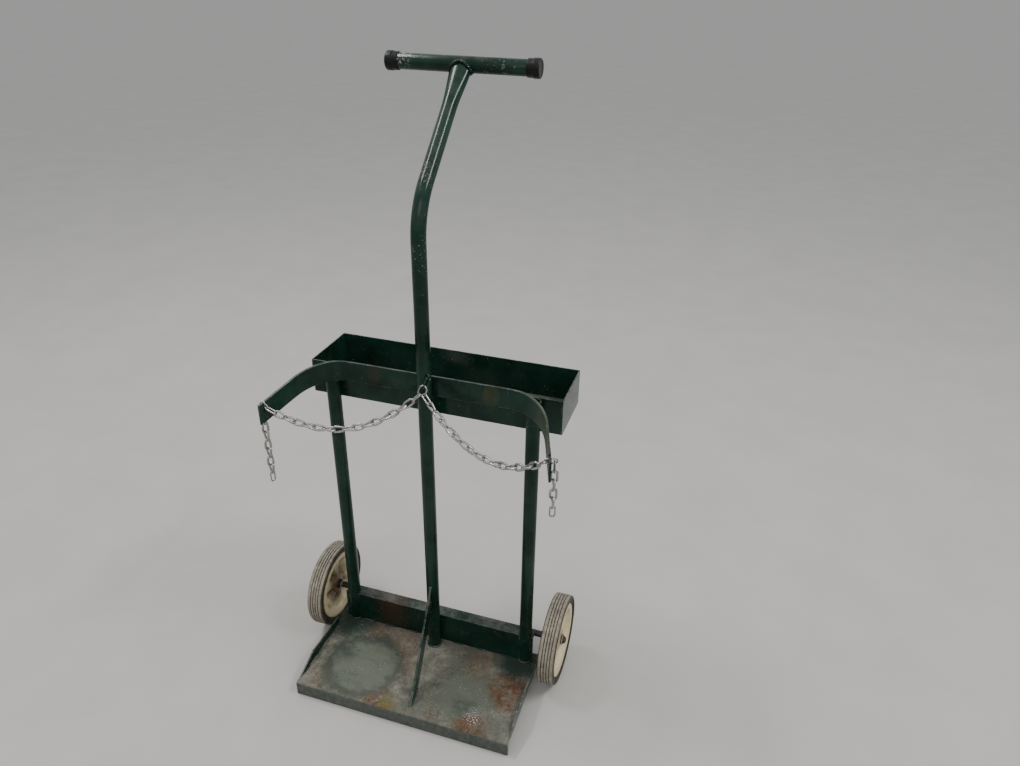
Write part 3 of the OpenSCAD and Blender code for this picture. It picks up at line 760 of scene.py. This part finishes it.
class CART_OT_tubes(bpy.types.Operator):
    """Builds the uprights, the mast, the handle bar and its rubber caps"""
    bl_idname = "cart.tubes"
    bl_label = "Tubes and handle"

    def execute(self, context):
        sizes, colours = context.scene.cart_sizes, context.scene.cart_colours
        cap_zone = ((BAR.x - 0.100, BAR.y - 0.008, BAR.z + 0.008), (1, 1, 1), 8, 20, 0.56)
        right_zone = ((BAR.x + 0.066, BAR.y - 0.008, BAR.z + 0.009), (1, 1, 1), 10, 44, 0.42)
        bend_zone = ((-0.011, 0.03, 0.99), (1, 1, 1), 10, 40, 0.46)
        shaft_zone = ((0.0, MAST_Y - 0.012, 0.89), (1, 1, 0.5), 10, 48, 0.36)
        enamel = enamel_finish("tube enamel", colours, dusting=0.16, chipping=0.17,
                               extra_chips=(cap_zone, right_zone, bend_zone, shaft_zone))
        for side, _ in SIDES:
            self.upright(side, sizes, enamel)
        self.mast(sizes, enamel)
        self.handle(sizes, enamel)
        rubber = rubber_finish(colours)
        for side, sign in SIDES:
            self.cap(side, sign, sizes, rubber)
        return {"FINISHED"}

    def upright(self, side, sizes, enamel):
        node = side + "_upright"
        height = extent(node).z
        outline = [(TUBE_R, 0.0), (TUBE_R, height), (TUBE_R - TUBE_WALL, height),
                   (TUBE_R - TUBE_WALL, 0.0)]
        foot = middle(node)
        foot.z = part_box(node)[0].z
        bm = lathe(outline, Matrix.Translation(foot), sizes.sides, rounding=0.6 * MM)
        add_piece(bm, "painted_" + node, "frame", enamel, [node], crease=50)

    def mast(self, sizes, enamel):
        low = Vector((0, MAST_Y, PLATE_TOP))
        knee = Vector((0, MAST_Y, MAST_KNEE_Z))
        lean = (BAR - knee).normalized()
        angle = lean.angle(Vector((0, 0, 1)))
        run = MAST_BEND_R * math.tan(angle / 2)
        centre = Vector((0, MAST_Y + MAST_BEND_R, knee.z - run))
        back, up = Vector((0, -1, 0)), Vector((0, 0, 1))
        bend = arc_points(centre, back, up, MAST_BEND_R, 0.0, math.degrees(angle), 28)
        straight = [low.lerp(bend[0], i / 8) for i in range(8)]
        joint = BAR - lean * 0.55 * BAR_R
        points = straight + bend + [bend[-1].lerp(joint, i / 14) for i in range(1, 15)]
        radii = []
        for point in points:
            near = max(0.0, 1.0 - (point - joint).length / MAST_FLARE_RUN)
            spread = near * near * (3.0 - 2.0 * near)
            radii.append((TUBE_R * (1 + (MAST_FLARE - 1) * spread), TUBE_R * (1 - 0.1 * spread)))
        bm = bmesh.new()
        sweep(bm, points, radii, sizes.sides)
        bmesh.ops.recalc_face_normals(bm, faces=bm.faces[:])
        add_piece(bm, "painted_mast", "frame", enamel, ["mast"], crease=60)

    def handle(self, sizes, enamel):
        half = extent("handle_bar").x / 2
        inside = BAR_R - TUBE_WALL
        outline = [(BAR_R, -half), (BAR_R, half), (inside, half), (inside, -half)]
        bm = lathe(outline, axle_place(1, BAR), sizes.sides, rounding=0.4 * MM)
        add_piece(bm, "painted_handle_bar", "frame", enamel, ["handle_bar"], crease=50)

    def cap(self, side, sign, sizes, rubber):
        """A pushed-on cup: a collar, a step, a fatter end and a shallow recess in the end face"""
        node = side + "_handle_cap"
        end = CAP_LENGTH
        step_r = CAP_R - 0.9 * MM
        outline = [(0.0, end - 0.7 * MM), (11.6 * MM, end - 0.7 * MM), (12.4 * MM, end),
                   (CAP_R - 1.1 * MM, end), (CAP_R, end - 1.6 * MM), (CAP_R, 11.4 * MM),
                   (step_r, 10.2 * MM), (step_r - 0.2 * MM, 1.0 * MM), (step_r - 0.9 * MM, 0.0),
                   (BAR_R, 0.0), (BAR_R, end - 2.6 * MM), (0.0, end - 2.6 * MM)]
        start = middle(node)
        start.x -= sign * CAP_LENGTH / 2
        bm = lathe(outline, axle_place(sign, start), sizes.sides, rounding=0.45 * MM, closed=False)
        add_piece(bm, side + "_rubber_cap", "frame", rubber, [node], crease=40)


class CART_OT_strap(bpy.types.Operator):
    """Builds the curved flat-bar strap that the cylinders lean against"""
    bl_idname = "cart.strap"
    bl_label = "Cylinder strap"

    def execute(self, context):
        sizes, colours = context.scene.cart_sizes, context.scene.cart_colours
        face = STRAP_FACE_Y
        spots = (((0.118, face, STRAP_TOP - 0.020), (1.0, 1, 0.7), 9, 20, OLIVE_SPOT, 0.32),
                 ((0.106, face, STRAP_TOP - 0.022), (1.6, 1, 0.6), 3, 13, colours.rust, 0.2),
                 ((-0.104, face, STRAP_TOP - 0.012), (1, 1, 0.8), 5, 24, colours.old_rust, 0.22),
                 ((0.232, face - 0.055, STRAP_TOP - 0.03), (1, 1, 0.8), 20, 80, OLIVE_HAZE, 0.7))
        enamel = enamel_finish("strap enamel", colours, dusting=0.35, chipping=0.24, spots=spots)
        add_sheet("cylinder_strap", sizes.edge_round, enamel)
        return {"FINISHED"}


class CART_OT_tray(bpy.types.Operator):
    """Builds the open tray behind the uprights"""
    bl_idname = "cart.tray"
    bl_label = "Tray"

    def execute(self, context):
        colours = context.scene.cart_colours
        low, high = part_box("tray_pan")
        floor_spots = (((0.06, high.y - 0.05, low.z), (1, 1, 1), 12, 70, colours.dust, 0.25),
                       ((-0.13, high.y - 0.06, low.z), (1, 1, 1), 8, 48, colours.old_rust, 0.3),
                       ((0.0, high.y, high.z - 0.012), (0.5, 1, 1), 2, 22, colours.dust, 0.18))
        enamel = enamel_finish("tray enamel", colours, dusting=0.5, chipping=0.26, spots=floor_spots)
        for node in ("tray_pan", "left_tray_end", "right_tray_end"):
            add_sheet(node, TRAY_ROUNDING, enamel)
        return {"FINISHED"}


class CART_OT_wheels(bpy.types.Operator):
    """Builds the ribbed tyres, the pressed discs and the axle caps"""
    bl_idname = "cart.wheels"
    bl_label = "Wheels and axle"

    def execute(self, context):
        sizes, colours = context.scene.cart_sizes, context.scene.cart_colours
        steel = metal_finish("dull axle steel", colours.steel, colours.old_rust, 0.42, 0.5)
        plated = metal_finish("washer plate", colours.zinc, colours.old_rust, 0.36, 0.45)
        dress("axle", steel)
        for side, sign in SIDES:
            centre = middle(side + "_tyre")
            self.tyre(side, sign, centre, sizes, tyre_finish(side + " tyre rubber", colours, centre))
            outer = disc_finish(side + " outer disc enamel", colours, centre, False)
            inner = disc_finish(side + " inner disc enamel", colours, centre, True)
            self.disc(side, sign, "outer", centre, sizes, outer)
            self.disc(side, -sign, "inner", centre, sizes, inner)
            self.cap(side, sign, steel)
            dress(side + "_hub_sleeve", steel)
            dress(side + "_inner_washer", plated)
            dress(side + "_outer_washer", plated)
        return {"FINISHED"}

    def tyre(self, side, sign, centre, sizes, rubber):
        """The outline runs in mm of radius and distance from the wheel's middle plane"""
        tread = round(WHEEL_R / MM, 1)
        half = [(60.1, 13.0), (73.6, 13.0), (74.9, 14.9)]
        for ring in (76.4, 78.9, 81.4):
            bulge = 15.4 + (ring - 76.4) * 0.19
            half += [(ring, bulge), (ring + 0.5, bulge + 0.55), (ring + 1.2, bulge + 0.6)]
            half += [(ring + 1.7, bulge + 0.1)]
        half += [(84.4, 17.0), (86.4, 16.5), (88.0, 15.3), (tread, 13.4)]
        for groove in (8.34, 2.78):
            half += [(tread, groove + 0.95), (tread - sizes.groove / MM, groove + 0.6),
                     (tread - sizes.groove / MM, groove - 0.6), (tread, groove - 0.95)]
        outline = [(r * MM, d * MM) for r, d in half]
        outline += [(r, -d) for r, d in reversed(outline)]
        bm = lathe(outline, axle_place(sign, centre), 2 * sizes.sides, rounding=0.28 * MM)
        add_piece(bm, side + "_ribbed_tyre", side + "_wheel", rubber, [side + "_tyre"], crease=55)

    def disc(self, side, facing, which, centre, sizes, enamel):
        """A pressed dish with a rolled lip; the inner one has spokes pressed into it"""
        dish = [(73.0, 13.3), (72.9, 14.2), (71.8, 14.7), (64.0, 14.5), (60.4, 13.2), (58.4, 10.0),
                (56.0, 6.6), (53.5, 4.6), (51.0, 3.6), (48.0, 2.9), (44.0, 2.4), (40.0, 2.2), (36.0, 2.2),
                (32.0, 2.4), (28.0, 3.2), (25.5, 4.6), (23.0, 6.2), (18.5, 9.6), (9.6, 10.4)]
        bm = lathe([(r * MM, d * MM) for r, d in dish], Matrix.Identity(4), 2 * sizes.sides,
                   rounding=1.4 * MM, closed=False)
        if which == "inner":
            for vert in bm.verts:
                self.press(vert, sizes)
        if sum(face.normal.z * face.calc_area() for face in bm.faces) < 0:
            bmesh.ops.reverse_faces(bm, faces=bm.faces[:])
        bmesh.ops.solidify(bm, geom=bm.faces[:], thickness=sizes.disc)
        bmesh.ops.transform(bm, matrix=axle_place(facing, centre), verts=bm.verts[:])
        bmesh.ops.recalc_face_normals(bm, faces=bm.faces[:])
        node = side + "_" + which + "_disc"
        add_piece(bm, side + "_pressed_" + which + "_disc", side + "_wheel", enamel,
                  [node], crease=50)

    def press(self, vert, sizes):
        """Raises the spokes between the hub and the rim, and sinks the face between them"""
        radius = math.hypot(vert.co.x, vert.co.y)
        along = min(1.0, max(0.0, (radius - SPOKE_START_R) / SPOKE_RUN))
        window = min(1.0, max(0.0, 1.7 * math.sin(math.pi * along)))
        wave = math.cos(sizes.spokes * math.atan2(vert.co.y, vert.co.x))
        vert.co.z += sizes.emboss * window * max(-0.35, min(1.0, 2.6 * wave + 0.5))

    def cap(self, side, sign, steel):
        """A domed push-on cap with a flared foot"""
        node = side + "_axle_cap"
        low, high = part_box(node)
        radius = (high.z - low.z) / 2
        height = high.x - low.x
        foot = middle(node)
        foot.x -= sign * height / 2
        dome = [(radius * math.cos(a) * 0.9, 0.42 * height + 0.58 * height * math.sin(a))
                for a in (math.radians(10 * i) for i in range(10))]
        outline = [(0.0, 0.0), (radius, 0.0), (radius, 0.12 * height), (0.9 * radius, 0.2 * height)] + dome
        bm = lathe(outline, axle_place(sign, foot), 40, closed=False)
        add_piece(bm, side + "_domed_cap", "frame", steel, [node], crease=40)


class CART_OT_chains(bpy.types.Operator):
    """Twists the links of the chains and finishes the staple and its links"""
    bl_idname = "cart.chains"
    bl_label = "Chains"

    def execute(self, context):
        sizes, colours = context.scene.cart_sizes, context.scene.cart_colours
        zinc = metal_finish("chain zinc", colours.zinc, colours.old_rust, 0.26, 0.42)
        green = enamel_finish("painted staple enamel", colours, dusting=0.2, chipping=0.4)
        bodies = {"left_chain": "left_chain_span", "right_chain": "right_chain_span",
                  "left_tail": "left_chain_tail", "right_tail": "right_chain_tail"}
        for node, body in bodies.items():
            bm = merged_copy(node)
            bm.normal_update()
            for link in self.links(bm)[1:-1]:
                self.twist(link, sizes.twist, sizes.bulge, sizes.wire)
            bmesh.ops.recalc_face_normals(bm, faces=bm.faces[:])
            add_piece(bm, node + "_twisted_links", body, zinc, [node], crease=70)
        for node in ("junction_link", "left_hook_link", "right_hook_link"):
            dress(node, zinc)
        for node in ("chain_staple", "anchor_link"):
            dress(node, green)
        return {"FINISHED"}

    def links(self, bm):
        """The separate links from the mast outwards, each as a list of its vertices"""
        left, found = set(bm.verts), []
        while left:
            link, front = [], [left.pop()]
            while front:
                vert = front.pop()
                link.append(vert)
                near = [edge.other_vert(vert) for edge in vert.link_edges]
                fresh = [other for other in near if other in left]
                left.difference_update(fresh)
                front += fresh
            found.append(link)
        mast = Vector((0, MAST_Y, STRAP_TOP))
        return sorted(found, key=lambda link: min((vert.co - mast).length for vert in link))

    def twist(self, link, turn, bulge, thicker):
        """Turns a link's ends against each other, bows its sides out and thickens its wire"""
        places = np.array([vert.co[:] for vert in link])
        spread = places - places.mean(0)
        axis = Vector(np.linalg.eigh(spread.T @ spread)[1][:, 2])
        centre = Vector(places.mean(0))
        reach = max(abs((vert.co - centre).dot(axis)) for vert in link)
        for vert in link:
            away = vert.co - centre + vert.normal * thicker
            along = away.dot(axis)
            out = (away - along * axis) * (1 + bulge * (1 - (along / reach) ** 2))
            vert.co = centre + along * axis + Matrix.Rotation(turn / 2 * along / reach, 3, axis) @ out


class CART_OT_welds(bpy.types.Operator):
    """Lays the weld beads where tubes, sheets and bars meet"""
    bl_idname = "cart.welds"
    bl_label = "Welds"

    def execute(self, context):
        sizes, colours = context.scene.cart_sizes, context.scene.cart_colours
        bm = bmesh.new()
        x, y, z = Vector((1, 0, 0)), Vector((0, 1, 0)), Vector((0, 0, 1))
        bead = sizes.bead
        mast = Vector((0, MAST_Y, 0))
        feet = [mast] + [Vector((middle(side + "_upright").x, middle(side + "_upright").y, 0))
                         for side, _ in SIDES]
        for i, foot in enumerate(feet):
            ring = arc_points(foot + z * (PLATE_TOP + 0.3 * MM), x, y, TUBE_R + 0.5 * MM, 0, 356, 40)
            weld_bead(bm, ring, bead * 1.15, 10 + i)
        self.handle_joint(bm, bead)
        self.beside(bm, mast, STRAP_FACE_Y, STRAP_TOP - 36 * MM, STRAP_TOP - 1.5 * MM, bead * 0.8, 20)
        self.beside(bm, mast, STRAP_FACE_Y, PLATE_TOP + 3 * MM, ANGLE_TOP - 4 * MM, bead * 0.8, 24)
        tray_low, tray_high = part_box("tray_pan")
        for i, foot in enumerate(feet[1:]):
            self.beside(bm, foot, foot.y + TUBE_R, tray_low.z + 4 * MM, tray_high.z - 2 * MM,
                        bead * 0.8, 30 + 3 * i)
            top = arc_points(foot + z * (ANGLE_TOP + 0.2 * MM), x, y, TUBE_R + 0.5 * MM, -18, 198, 24)
            weld_bead(bm, top, bead * 0.9, 40 + i)
            self.strap_joint(bm, foot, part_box("left_upright")[1].z, bead, 44 + 3 * i)
        self.brace_joint(bm, bead)
        self.stitches(bm, bead)
        bmesh.ops.recalc_face_normals(bm, faces=bm.faces[:])
        enamel = enamel_finish("weld enamel", colours, dusting=0.45, chipping=0.3)
        add_piece(bm, "weld_beads", "frame", enamel, crease=60)
        return {"FINISHED"}

    def beside(self, bm, foot, face_y, low, high, radius, seed):
        """Two upright beads in the wedges where a tube's side meets a flat face behind it"""
        for sign in (-1, 1):
            spot = Vector((foot.x, face_y - 1.1 * MM, 0)) + Vector((1, 0, 0)) * sign * 5.4 * MM
            weld_bead(bm, [spot + Vector((0, 0, low)), spot + Vector((0, 0, high))], radius, seed + sign)

    def handle_joint(self, bm, bead):
        """The saddle-shaped bead where the leaning mast meets the handle bar"""
        lean = (BAR - Vector((0, MAST_Y, MAST_KNEE_Z))).normalized()
        x = Vector((1, 0, 0))
        normal = lean.cross(x)
        path = []
        for i in range(49):
            turn = math.tau * i / 48
            out = (TUBE_R * MAST_FLARE + 0.6 * MM) * math.cos(turn)
            off = TUBE_R * math.sin(turn)
            reach = math.sqrt(max(BAR_R ** 2 - off ** 2, 0.0)) + 0.6 * MM
            path.append(BAR + x * out + normal * off * 1.04 - lean * reach)
        weld_bead(bm, path, bead * 1.35, 5)
        lump = [path[44], path[46], path[0] + x * 1.5 * MM, path[3]]
        weld_bead(bm, lump, bead * 1.7, 6)

    def strap_joint(self, bm, foot, top, bead, seed):
        """Beads where an upright meets the outside of the strap's bend"""
        sign = 1 if foot.x > 0 else -1
        heart = Vector((sign * STRAP_BEND_X, STRAP_FACE_Y + 2 * MM - STRAP_BEND_R, 0))
        out = (Vector((foot.x, foot.y, 0)) - heart).normalized()
        along = Vector((-out.y, out.x, 0))
        for step in (-1, 1):
            spot = heart + out * 0.0931 + along * step * 5.6 * MM
            weld_bead(bm, [spot + Vector((0, 0, STRAP_TOP - 37 * MM)),
                           spot + Vector((0, 0, top - 1 * MM))], bead * 0.8, seed + step)

    def brace_joint(self, bm, bead):
        """Beads up both sides of the brace at the mast and round its foot on the plate"""
        low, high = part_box("centre_brace")
        turn = Matrix.Rotation(BRACE_TURN, 3, "Z")
        heart = Vector((0, MAST_Y, 0))
        ahead = turn @ Vector((0, -1, 0))
        side = turn @ Vector((1, 0, 0))
        foot = (low.y - MAST_Y) / ahead.y
        for sign in (-1, 1):
            off = side * sign * 2.3 * MM
            top = heart + ahead * (TUBE_R + 0.9 * MM) + off
            weld_bead(bm, [top + Vector((0, 0, high.z - 44 * MM)), top + Vector((0, 0, high.z - 1 * MM))],
                      bead * 0.8, 60 + sign)
            floor = Vector((0, 0, PLATE_TOP + 0.4 * MM))
            weld_bead(bm, [heart + ahead * (foot - 42 * MM) + off + floor,
                           heart + ahead * (foot - 2 * MM) + off + floor], bead * 0.8, 64 + sign)

    def stitches(self, bm, bead):
        """Short beads along the side gussets and the rear angle"""
        low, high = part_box("left_side_gusset")
        inside = abs(high.x) - 0.5 * MM
        floor = PLATE_TOP + 0.5 * MM
        first, pitch, run = 0.012, 0.05, 0.026
        for sign in (-1, 1):
            for i in range(3):
                start = low.y + first + i * pitch
                weld_bead(bm, [Vector((sign * inside, start, floor)),
                               Vector((sign * inside, start + run, floor))], bead * 0.75,
                          80 + i + 9 * sign)
        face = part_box("rear_angle")[0].y - 0.6 * MM
        first, pitch, run = -0.172, 0.052, 0.024
        for i in range(7):
            start = first + i * pitch
            stop = start + run
            weld_bead(bm, [Vector((start, face, floor)), Vector((stop, face, floor))], bead * 0.8,
                      110 + i)


class CART_PT_pieces(bpy.types.Panel):
    bl_idname = "CART_PT_pieces"
    bl_label = "Cylinder Cart"
    bl_space_type = "VIEW_3D"
    bl_region_type = "UI"
    bl_category = "Cart"

    def draw(self, context):
        for operator in OPERATORS:
            self.layout.operator(operator.bl_idname)
        for group in (context.scene.cart_sizes, context.scene.cart_colours):
            for name in group.__annotations__:
                self.layout.prop(group, name)


OPERATORS = (CART_OT_stage, CART_OT_base, CART_OT_tubes, CART_OT_strap, CART_OT_tray, CART_OT_wheels,
             CART_OT_chains, CART_OT_welds)
CLASSES = (CartSizes, CartColours) + OPERATORS + (CART_PT_pieces,)


def register():
    for item in CLASSES:
        bpy.utils.register_class(item)
    bpy.types.Scene.cart_sizes = PointerProperty(type=CartSizes)
    bpy.types.Scene.cart_colours = PointerProperty(type=CartColours)


def unregister():
    del bpy.types.Scene.cart_colours
    del bpy.types.Scene.cart_sizes
    for item in reversed(CLASSES):
        bpy.utils.unregister_class(item)


def main():
    register()
    bpy.ops.cart.stage()
    bpy.ops.cart.base()
    bpy.ops.cart.tubes()
    bpy.ops.cart.strap()
    bpy.ops.cart.tray()
    bpy.ops.cart.wheels()
    bpy.ops.cart.chains()
    bpy.ops.cart.welds()


if __name__ == "__main__":
    main()
